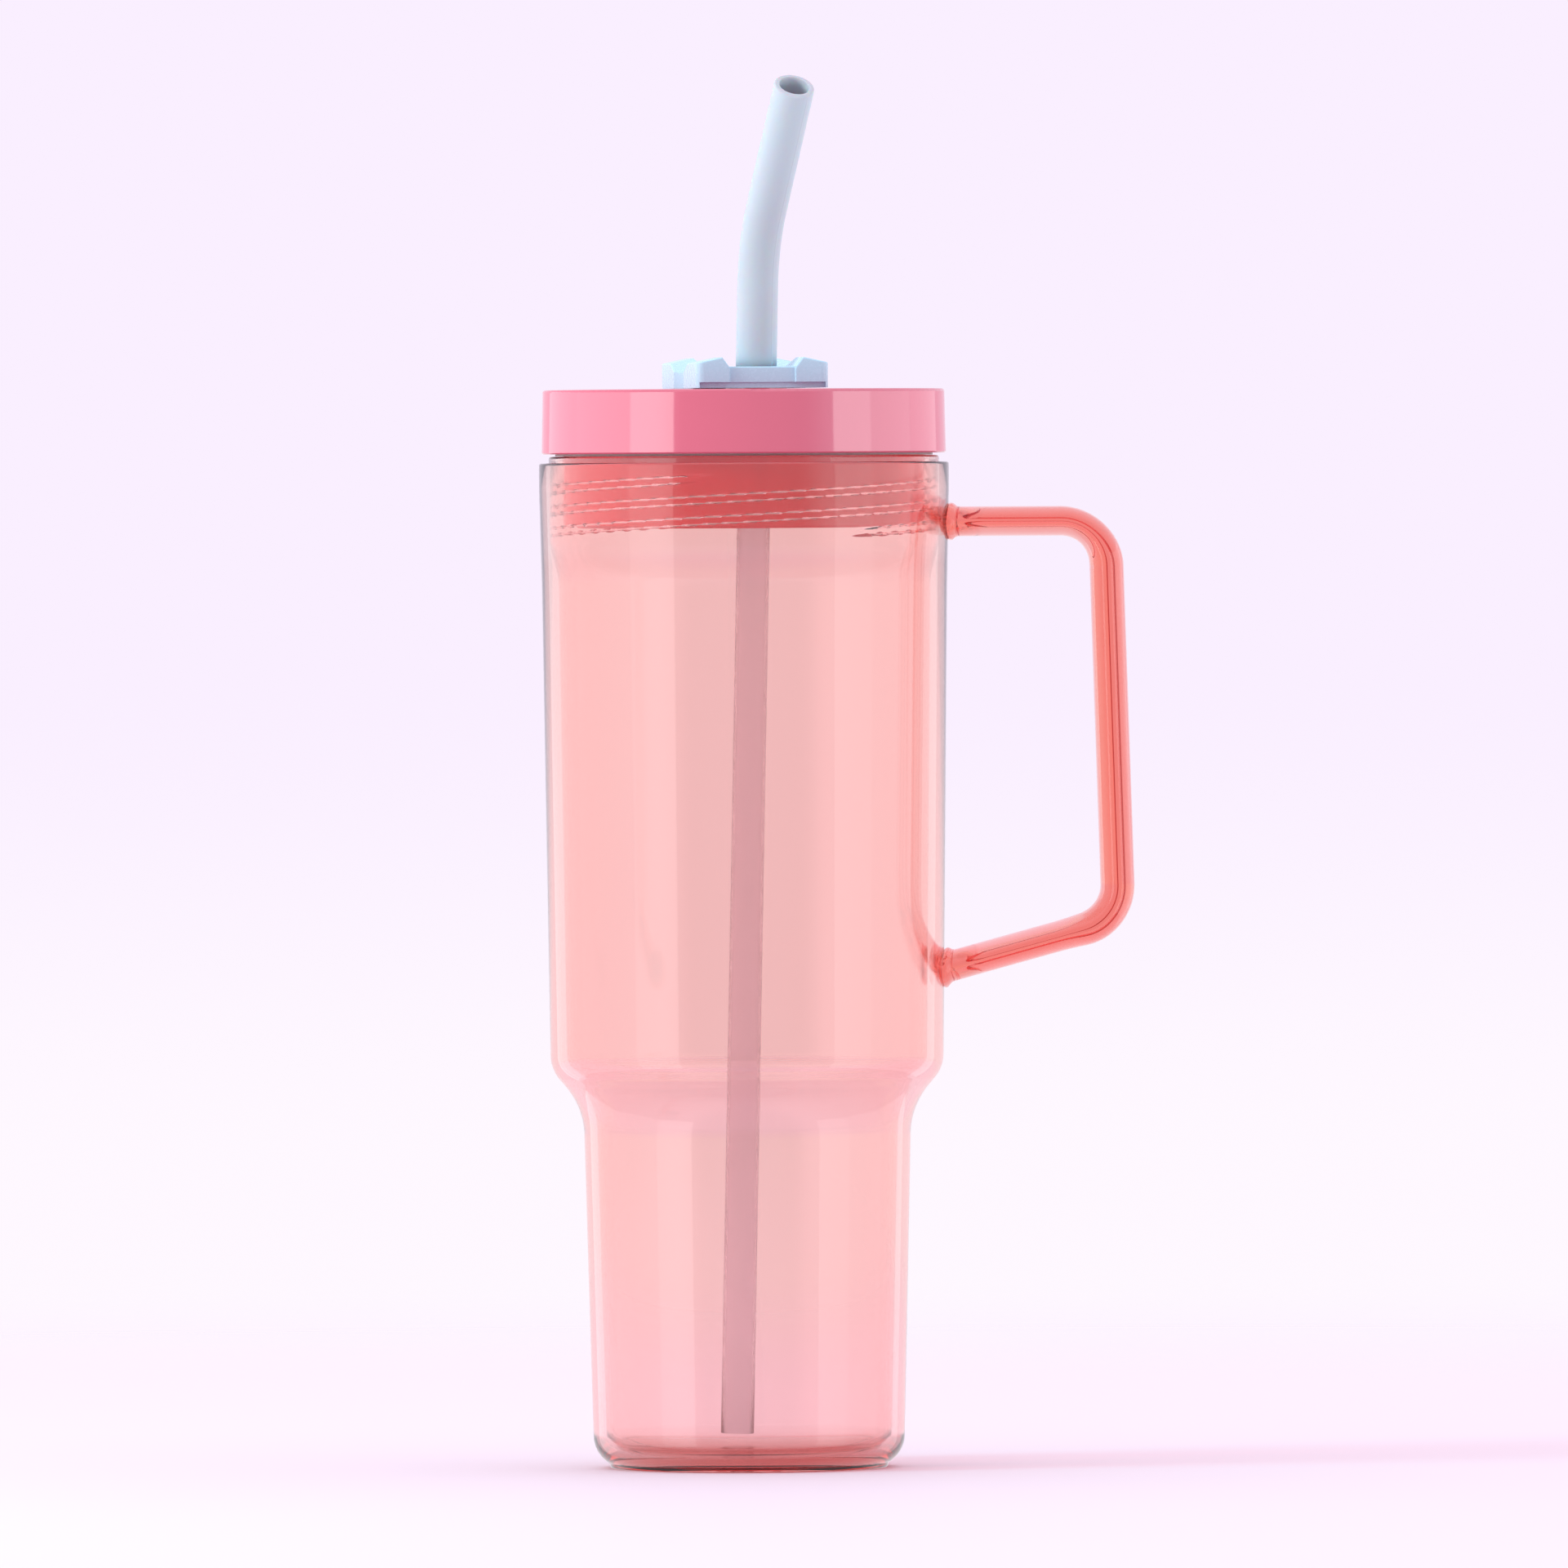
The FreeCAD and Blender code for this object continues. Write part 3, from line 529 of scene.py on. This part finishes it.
def tip_line():
    """Stations (centre, side, across) of the bent tip, bottom to mouth."""
    side = Vector((sin(TIP_HEADING), -cos(TIP_HEADING), 0))
    side = (side - STRAW_WAY * side.dot(STRAW_WAY)).normalized()
    across = STRAW_WAY.cross(side)
    bend = straw_at(TIP_BEND_Z)
    low = straw_at(TIP_LOW_Z)
    stations = [(low.lerp(bend, i / TIP_ROWS), side, across) for i in range(TIP_ROWS)]
    for i in range(TIP_BEND_ROWS + 1):
        a = TIP_BEND * i / TIP_BEND_ROWS
        point = bend + (side * (1 - cos(a)) + STRAW_WAY * sin(a)) * TIP_BEND_R
        stations.append((point, side * cos(a) - STRAW_WAY * sin(a), across))
    way = STRAW_WAY * cos(TIP_BEND) + side * sin(TIP_BEND)
    last, turned, _ = stations[-1]
    stations += [(last + way * (TIP_REACH * i / TIP_END_ROWS), turned, across)
                 for i in range(1, TIP_END_ROWS + 1)]
    return stations, way


def parting_seam(angle):
    """Height of the fine mould line that runs up both sides of the tip."""
    facing = angle - (PARTING - TIP_HEADING)
    off = abs((facing + pi / 2) % pi - pi / 2) * TIP_R
    return SEAM_HEIGHT * max(0.0, 1 - off / SEAM_HALF)


def make_tip():
    stations, way = tip_line()
    foot, foot_side, foot_across = stations[0]
    centre, side, across = stations[-1]
    wall = stations[1:-1]
    rings = tube_rings([stations[0]], [TIP_R - TIP_FOOT_EDGE], TIP_AROUND)
    lift = (foot + STRAW_WAY * TIP_FOOT_EDGE, foot_side, foot_across)
    rings += tube_rings([lift], [TIP_R], TIP_AROUND, parting_seam)
    rings += tube_rings(wall, [TIP_R] * len(wall), TIP_AROUND, parting_seam)
    for i in range(MOUTH_EDGE_ROWS + 1):
        a = pi / 2 * i / MOUTH_EDGE_ROWS
        at = centre - way * (MOUTH_EDGE_R * (1 - sin(a)))
        radius = TIP_R - MOUTH_EDGE_R * (1 - cos(a))
        rings += tube_rings([(at, side, across)], [radius], TIP_AROUND)
    rings += tube_rings([stations[-1]], [TIP_BORE_R + MOUTH_BEVEL], TIP_AROUND)
    bevel = (centre - way * MOUTH_BEVEL, side, across)
    rings += tube_rings([bevel], [TIP_BORE_R], TIP_AROUND)
    bore = [s for s in stations[:-1] if s[0].z > TUBE_TOP_Z + 0.3]
    rings += tube_rings(bore[::-1], [TIP_BORE_R] * len(bore), TIP_AROUND)
    sleeve_top = (straw_at(TUBE_TOP_Z + 0.1), foot_side, foot_across)
    rings += tube_rings([sleeve_top, sleeve_top], [TIP_BORE_R, SLEEVE_R], TIP_AROUND)
    rings += tube_rings([stations[0]], [SLEEVE_R], TIP_AROUND)
    return skin("straw_tip_soft", rings, True, TIP_SHARP)


# ---------------------------------------------------------------- materials

def new_material(name):
    mat = bpy.data.materials.new(name)
    mat.use_nodes = True
    nodes = mat.node_tree.nodes
    nodes.clear()
    out = nodes.new("ShaderNodeOutputMaterial")
    shader = nodes.new("ShaderNodeBsdfPrincipled")
    mat.node_tree.links.new(shader.outputs["BSDF"], out.inputs["Surface"])
    return mat, nodes, mat.node_tree.links, shader, out


def noise_node(nodes, links, scale, detail=3.0, stretch=None):
    coords = nodes.new("ShaderNodeTexCoord")
    source = coords.outputs["Object"]
    if stretch:
        mapping = nodes.new("ShaderNodeMapping")
        mapping.inputs["Scale"].default_value = stretch
        links.new(source, mapping.inputs["Vector"])
        source = mapping.outputs["Vector"]
    tex = nodes.new("ShaderNodeTexNoise")
    tex.inputs["Scale"].default_value = scale
    tex.inputs["Detail"].default_value = detail
    links.new(source, tex.inputs["Vector"])
    return tex.outputs["Fac"]


def ranged(nodes, links, source, low, high):
    node = nodes.new("ShaderNodeMapRange")
    node.inputs["To Min"].default_value = low
    node.inputs["To Max"].default_value = high
    links.new(source, node.inputs["Value"])
    return node.outputs["Result"]


def bump(nodes, links, shader, source, strength, distance):
    node = nodes.new("ShaderNodeBump")
    node.inputs["Strength"].default_value = strength
    node.inputs["Distance"].default_value = distance
    links.new(source, node.inputs["Height"])
    links.new(node.outputs["Normal"], shader.inputs["Normal"])


def clear_plastic(name, absorb, ior, rough, wave, lamp_tint):
    """Tinted clear plastic: the colour comes from the depth of the wall. absorb is per metre.

    Light from the lamps passes straight through, tinted at each face by lamp_tint."""
    mat, nodes, links, shader, out = new_material(name)
    shader.inputs["Base Color"].default_value = (1, 1, 1, 1)
    shader.inputs["Transmission Weight"].default_value = 1.0
    shader.inputs["IOR"].default_value = ior
    fine = noise_node(nodes, links, 60.0)
    links.new(ranged(nodes, links, fine, rough * 0.5, rough * 1.5), shader.inputs["Roughness"])
    slow = noise_node(nodes, links, 22.0, 2.0, (1, 1, 0.25))
    bump(nodes, links, shader, slow, wave, 0.0004)
    volume = nodes.new("ShaderNodeVolumeAbsorption")
    density = max(absorb)
    volume.inputs["Density"].default_value = density
    volume.inputs["Color"].default_value = (*[1 - a / density for a in absorb], 1)
    links.new(volume.outputs["Volume"], out.inputs["Volume"])
    passing = nodes.new("ShaderNodeBsdfTransparent")
    passing.inputs["Color"].default_value = (*lamp_tint, 1)
    rays = nodes.new("ShaderNodeLightPath")
    mix = nodes.new("ShaderNodeMixShader")
    links.new(rays.outputs["Is Shadow Ray"], mix.inputs["Fac"])
    links.new(shader.outputs["BSDF"], mix.inputs[1])
    links.new(passing.outputs["BSDF"], mix.inputs[2])
    links.new(mix.outputs["Shader"], out.inputs["Surface"])
    return mat


def tinted(name, low, high, rough, grain, **sockets):
    """Moulded plastic or silicone: colour between low and high, fine grain."""
    mat, nodes, links, shader, _ = new_material(name)
    mix = nodes.new("ShaderNodeMix")
    mix.data_type = "RGBA"
    mix.inputs["A"].default_value = (*low, 1)
    mix.inputs["B"].default_value = (*high, 1)
    links.new(noise_node(nodes, links, 35.0, 4.0), mix.inputs["Factor"])
    links.new(mix.outputs["Result"], shader.inputs["Base Color"])
    fine = noise_node(nodes, links, 900.0, 2.0)
    links.new(ranged(nodes, links, fine, rough[0], rough[1]), shader.inputs["Roughness"])
    bump(nodes, links, shader, fine, grain, 0.0001)
    for socket, value in sockets.items():
        shader.inputs[socket.replace("_", " ")].default_value = value
    return mat


def paint(obj, mat):
    obj.data.materials.clear()
    obj.data.materials.append(mat)


# Colours, absorption and gloss were matched to the photo by sample; they are not
# measured material data. The handle absorbs more per metre than the walls for that reason.
clear_pink = clear_plastic("clear_pink_plastic", (2.0, 72.0, 82.0), 1.49, 0.01, 0.012,
                           (0.99, 0.91, 0.92))
handle_pink = clear_plastic("clear_pink_handle", (4.0, 98.0, 116.0), 1.49, 0.01, 0.012,
                            (0.985, 0.90, 0.90))
lid_pink = tinted("lid_pink_gloss", (0.68, 0.115, 0.185), (0.665, 0.108, 0.175),
                  (0.05, 0.09), 0.005, Specular_IOR_Level=1.0, IOR=1.7)
plug_red = tinted("plug_pink_gloss", (1.0, 0.03, 0.05), (1.0, 0.026, 0.045),
                  (0.12, 0.18), 0.01, Specular_IOR_Level=1.0, IOR=1.7)
pale_blue = tinted("cover_pale_blue", (0.51, 0.86, 1.0), (0.495, 0.84, 0.98),
                   (0.22, 0.32), 0.008)
tip_blue = tinted("tip_silicone_blue", (0.50, 0.62, 0.67), (0.485, 0.605, 0.655),
                  (0.42, 0.55), 0.02, Subsurface_Weight=0.5, Subsurface_Scale=0.003)
soft_clear = tinted("clear_silicone", (0.75, 0.62, 0.64), (0.72, 0.59, 0.61),
                    (0.4, 0.5), 0.05, Transmission_Weight=0.4)
straw_pink = tinted("straw_pink_translucent", (1.0, 0.97, 1.0), (0.99, 0.96, 0.99), (0.15, 0.22),
                    0.01, Transmission_Weight=0.88, IOR=1.35)

SEGMENTS = 384

shell = lathe("shell_clear", shell_profile(), SEGMENTS)


def liner_shape(angle, r, z):
    if abs(r - THREAD_ROOT) < 1e-6 and STEP_HIGH_Z < z < LIP_Z - 0.5:
        return r - RIDGE_HEIGHT * ridge_height(angle, z)
    return r


liner = lathe("liner_clear", liner_profile(), SEGMENTS, liner_shape)
handle = make_handle()
tube = make_tube()
tip = make_tip()

for piece, node, body, slot, mat in (
        (shell, "outer_shell", "cup", "clear_pink", clear_pink),
        (liner, "inner_liner", "cup", "clear_pink", clear_pink),
        (handle, "handle", "cup", "clear_pink", handle_pink),
        (tube, "straw_tube", "straw", "straw_pink", straw_pink),
        (tip, "straw_tip", "tip", "pale_blue_silicone", tip_blue)):
    paint(piece, mat)
    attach(piece, body)
    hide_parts(node)

nodes = frame["nodes"]
for node, mat in (("lid_cap", lid_pink), ("lid_plug", plug_red), ("lid_seal", soft_clear),
                  ("straw_grommet", soft_clear), ("drink_cover", pale_blue),
                  ("sip_seal", soft_clear)):
    paint(nodes[node], mat)


# ---------------------------------------------------------------- stage

def make_floor():
    mesh = bpy.data.meshes.new("studio_floor")
    bm = bmesh.new()
    bmesh.ops.create_circle(bm, cap_ends=True, segments=128, radius=FLOOR_RADIUS)
    bmesh.ops.translate(bm, verts=bm.verts, vec=(0, 0, -FLOOR_DROP))
    bm.to_mesh(mesh)
    bm.free()
    floor = bpy.data.objects.new("studio_floor", mesh)
    bpy.context.scene.collection.objects.link(floor)
    mat, tree, links, shader, out = new_material("studio_paper")
    shader.inputs["Roughness"].default_value = 0.7
    shader.inputs["Specular IOR Level"].default_value = 0.2
    mix = tree.new("ShaderNodeMix")
    mix.data_type = "RGBA"
    mix.inputs["A"].default_value = (*FLOOR_COLOUR, 1)
    mix.inputs["B"].default_value = (*[c * FLOOR_DARKER for c in FLOOR_COLOUR], 1)
    links.new(noise_node(tree, links, 3.0), mix.inputs["Factor"])
    links.new(mix.outputs["Result"], shader.inputs["Base Color"])
    coords = tree.new("ShaderNodeTexCoord")
    length = tree.new("ShaderNodeVectorMath")
    length.operation = "LENGTH"
    links.new(coords.outputs["Object"], length.inputs[0])
    fade = tree.new("ShaderNodeMapRange")
    fade.interpolation_type = "SMOOTHSTEP"
    fade.inputs["From Min"].default_value = FLOOR_FADE[0]
    fade.inputs["From Max"].default_value = FLOOR_FADE[1]
    links.new(length.outputs["Value"], fade.inputs["Value"])
    away = tree.new("ShaderNodeBsdfTransparent")
    blend = tree.new("ShaderNodeMixShader")
    links.new(fade.outputs["Result"], blend.inputs["Fac"])
    links.new(shader.outputs["BSDF"], blend.inputs[1])
    links.new(away.outputs["BSDF"], blend.inputs[2])
    links.new(blend.outputs["Shader"], out.inputs["Surface"])
    mesh.materials.append(mat)
    floor.visible_glossy = False
    return floor


def softbox(name, left, right, level, through):
    """Upright softbox that spans these azimuths, in degrees from the camera's side, + to +X.

    through says whether rays that have passed through clear plastic still see it."""
    a, b = radians(left), radians(right)
    ends = [Vector((sin(t) * BOX_AWAY, -cos(t) * BOX_AWAY, 0)) for t in (a, b)]
    middle = (ends[0] + ends[1]) / 2
    width = (ends[1] - ends[0]).length
    height = BOX_HIGH - BOX_LOW
    light = bpy.data.lights.new(name, "AREA")
    light.shape = "RECTANGLE"
    light.size = width
    light.size_y = height
    light.energy = level * pi * width * height
    light.color = BOX_COLOUR
    obj = bpy.data.objects.new(name, light)
    obj.location = (middle.x, middle.y, (BOX_LOW + BOX_HIGH) / 2)
    facing = Vector((-middle.x, -middle.y, 0)).normalized()
    obj.rotation_mode = "QUATERNION"
    obj.rotation_quaternion = facing.to_track_quat("-Z", "Y")
    obj.visible_camera = False
    obj.visible_transmission = through
    obj.light_linking.receiver_collection = lit_by_boxes
    bpy.context.scene.collection.objects.link(obj)


# The softboxes reach below the floor so their reflections run down to the foot; they leave
# the floor itself unlit, so no hard edge shows on it from other sides.
lit_by_boxes = bpy.data.collections.new("lit_by_boxes")
lit_by_boxes.objects.link(make_floor())
lit_by_boxes.collection_objects[0].light_linking.link_state = "EXCLUDE"

for name, left, right, level, inner_level in (
        ("key_left", -66.3, -39.3, 1.4, 1.3),
        ("fill_left", -109, -66.3, 0.7, 0.3),
        ("edge_left", -145.6, -109, 0.6, 0.6),
        ("fill_right", 51.3, 76, 1.1, 1.0),
        ("soft_right", 76, 108, 0.7, 0.4),
        ("edge_right", 108, 141, 0.5, 0.6)):
    softbox(name, left, right, level, False)
    softbox(name + "_inner", left, right, inner_level, True)

for name, place, size, power in (
        ("overhead", (0, 0, 2.6), 3.0, 9.0),
        ("key_high", (-1.4, -0.55, 0.95), 0.45, 10.0)):
    data = bpy.data.lights.new(name, "AREA")
    data.shape = "SQUARE"
    data.size = size
    data.energy = power
    lamp = bpy.data.objects.new(name, data)
    lamp.location = place
    lamp.rotation_mode = "QUATERNION"
    lamp.rotation_quaternion = (-Vector(place)).to_track_quat("-Z", "Y")
    lamp.visible_camera = False
    lamp.visible_transmission = False
    lamp.visible_glossy = False
    bpy.context.scene.collection.objects.link(lamp)

# The surroundings are brighter just below the horizon and dimmer on the camera's side. Both
# are fixed in the room: they go by direction in the world, not by where the camera stands.
world = bpy.data.worlds.new("studio_air")
bpy.context.scene.world = world
world.use_nodes = True
tree = world.node_tree
background = tree.nodes["Background"]
where = tree.nodes.new("ShaderNodeTexCoord")
parts = tree.nodes.new("ShaderNodeSeparateXYZ")
tree.links.new(where.outputs["Generated"], parts.inputs["Vector"])
height = tree.nodes.new("ShaderNodeMapRange")
height.interpolation_type = "SMOOTHSTEP"
height.inputs["From Min"].default_value = LOW_BAND[0]
height.inputs["From Max"].default_value = LOW_BAND[1]
tree.links.new(parts.outputs["Z"], height.inputs["Value"])
shade = tree.nodes.new("ShaderNodeMix")
shade.data_type = "RGBA"
shade.inputs["A"].default_value = (*LOW_COLOUR, 1)
shade.inputs["B"].default_value = (*WORLD_COLOUR, 1)
tree.links.new(height.outputs["Result"], shade.inputs["Factor"])
side = tree.nodes.new("ShaderNodeMapRange")
side.interpolation_type = "SMOOTHSTEP"
side.inputs["From Min"].default_value = FRONT_BAND[0]
side.inputs["From Max"].default_value = FRONT_BAND[1]
side.inputs["To Min"].default_value = FRONT_LEVEL
tree.links.new(parts.outputs["Y"], side.inputs["Value"])
tree.links.new(shade.outputs["Result"], background.inputs["Color"])
tree.links.new(side.outputs["Result"], background.inputs["Strength"])

# ---------------------------------------------------------------- camera

CAMERA_AWAY = 5.8
FRAME_WIDTH = 0.384
CENTRE = Vector((0.0094, 0, 0.1673))
PITCH = radians(0.77)
ROLL = radians(0.315)

camera_data = bpy.data.cameras.new("camera")
camera = bpy.data.objects.new("camera", camera_data)
bpy.context.scene.collection.objects.link(camera)
camera_data.sensor_width = SENSOR
camera_data.lens = SENSOR * CAMERA_AWAY / FRAME_WIDTH
camera_data.clip_start = 0.1
camera_data.clip_end = 60.0
forward = Vector((0, cos(PITCH), -sin(PITCH)))
plain_up = Vector((0, sin(PITCH), cos(PITCH)))
right = Vector((1, 0, 0)) * cos(ROLL) - plain_up * sin(ROLL)
up = plain_up * cos(ROLL) + Vector((1, 0, 0)) * sin(ROLL)
camera.matrix_world = Matrix((
    (right.x, up.x, -forward.x, 0),
    (right.y, up.y, -forward.y, 0),
    (right.z, up.z, -forward.z, 0),
    (0, 0, 0, 1)))
camera.location = CENTRE - forward * CAMERA_AWAY
scene = bpy.context.scene
scene.camera = camera
scene.view_settings.view_transform = "Standard"
scene.view_settings.look = "None"
scene.cycles.max_bounces = CLEAR_BOUNCES
scene.cycles.transmission_bounces = CLEAR_BOUNCES
scene.cycles.glossy_bounces = CLEAR_BOUNCES
scene.cycles.caustics_refractive = True
scene.cycles.caustics_reflective = False
scene.cycles.diffuse_bounces = DIFFUSE_BOUNCES
scene.cycles.transparent_max_bounces = PASSING_BOUNCES
